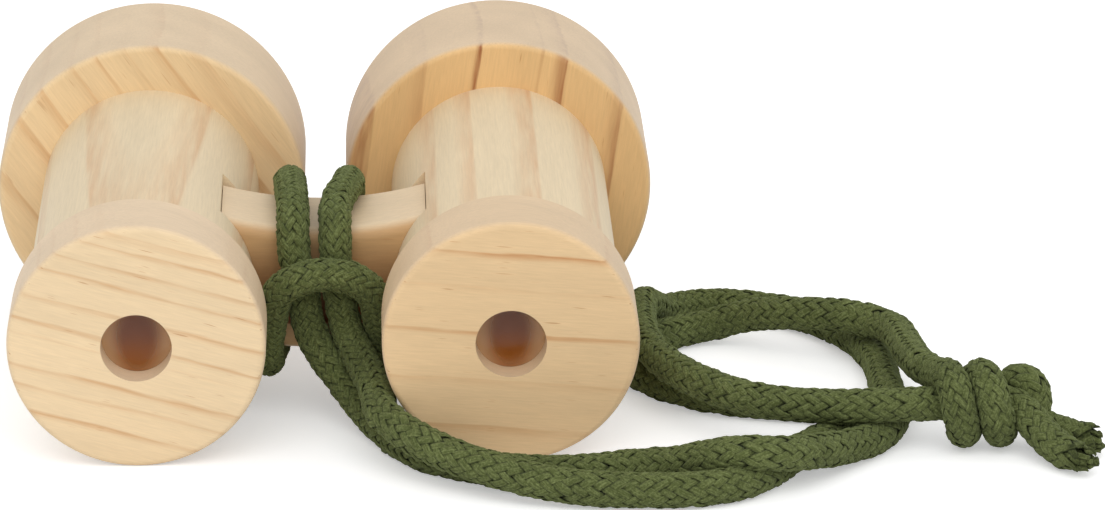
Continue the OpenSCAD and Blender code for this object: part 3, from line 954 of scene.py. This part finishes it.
deep = add_node(
    tree, "Mix", {0: low, COLOUR_A: linear(BORE_DEEP_PAINTED_SHADE), COLOUR_B: linear(BORE_LOW_PAINTED_BOUNCE)}, data_type="RGBA"
)
wall = add_node(
    tree, "Mix", {0: painted_side_light, COLOUR_A: deep.outputs[COLOUR_RESULT], COLOUR_B: linear(BORE_SIDE_PAINTED_LIGHT)},
    data_type="RGBA",
)
tree.links.new(wall.outputs[COLOUR_RESULT], shader.inputs["Base Color"])
print("eye holes at", round(eye_z, 2), "mm above the table")

# %% Clear acrylic, polished: its surface
shader.inputs["Alpha"].default_value = 0.6
shader.inputs["Roughness"].default_value = 0.08
shader.inputs["Specular IOR Level"].default_value = 0.3
shader.inputs["IOR"].default_value = 1.49
for lens in ("left_lens", "right_lens"):
    nodes[lens].data.materials.clear()
    nodes[lens].data.materials.append(acrylic)
print("acrylic:", acrylic.name, "with", len(tree.nodes), "nodes")

# %% [markdown]
# ## Floor and light
# The photograph is a cut-out on white in soft studio light. The world is an even white dome; one large soft
# lamp above the camera gives the tops their brightness. The floor is white paper: the camera sees a little
# light added to it, so that it reads white and only the toy's soft shadow stays. Floor and dome both ask
# Light Path whether a ray comes from the camera, a reflection or a see-through piece.

# %% White paper floor
WHITE = "#FFFFFF"
PAPER = "#F3F3F3"
FLOOR_SIZE = 6.0
FLOOR_GLOW = 0.4  # light added for the camera


def seen_directly(tree):
    """One for rays that show a picture of the surface, and zero for those that only light the toy."""
    rays = add_node(tree, "LightPath").outputs
    seen = add_node(tree, "Math", {0: rays["Is Camera Ray"], 1: rays["Is Glossy Ray"]}, operation="MAXIMUM")
    return add_node(tree, "Math", {0: seen, 1: rays["Is Transmission Ray"]}, operation="MAXIMUM")


paper, tree, shader = new_material("white_paper_backdrop")
shader.inputs["Base Color"].default_value = linear(PAPER)
shader.inputs["Roughness"].default_value = 1.0
shader.inputs["Specular IOR Level"].default_value = 0.0
glow = add_node(tree, "Math", {0: seen_directly(tree), 1: FLOOR_GLOW}, operation="MULTIPLY")
tree.links.new(glow.outputs[0], shader.inputs["Emission Strength"])
shader.inputs["Emission Color"].default_value = linear(WHITE)

half_floor = FLOOR_SIZE / 2
corners = [(half_floor * x, half_floor * y, 0) for x, y in ((-1, -1), (1, -1), (1, 1), (-1, 1))]
floor_mesh = bpy.data.meshes.new("floor")
floor_mesh.from_pydata(corners, [], [(0, 1, 2, 3)])
floor_mesh.materials.append(paper)
floor = bpy.data.objects.new("floor", floor_mesh)
bpy.context.scene.collection.objects.link(floor)
print("floor:", FLOOR_SIZE, "m of", paper.name)

# %% Dome and lamp
DOME = 0.72  # light on the toy, while the camera sees full white
LAMP_POWER = 4.5
LAMP_SIZE = (1.0, 0.8)
LAMP_AT = Vector((0.05, -0.75, 0.75))
LAMP_AIM = Vector((0.03, 0, 0.02))

world = bpy.data.worlds.new("studio_dome")
bpy.context.scene.world = world
world.use_nodes = True
tree = world.node_tree
strength = add_node(tree, "MapRange", {"Value": seen_directly(tree), "To Min": DOME, "To Max": 1.0})
tree.nodes["Background"].inputs["Color"].default_value = linear(WHITE)
tree.links.new(strength.outputs[0], tree.nodes["Background"].inputs["Strength"])

lamp_data = bpy.data.lights.new("softbox", "AREA")
lamp_data.shape = "RECTANGLE"
lamp_data.size, lamp_data.size_y = LAMP_SIZE
lamp_data.energy = LAMP_POWER
lamp = bpy.data.objects.new("softbox", lamp_data)
lamp.location = LAMP_AT
lamp.rotation_euler = (LAMP_AIM - LAMP_AT).to_track_quat("-Z", "Y").to_euler()
bpy.context.scene.collection.objects.link(lamp)
print("dome", DOME, "and softbox", LAMP_POWER, "W")
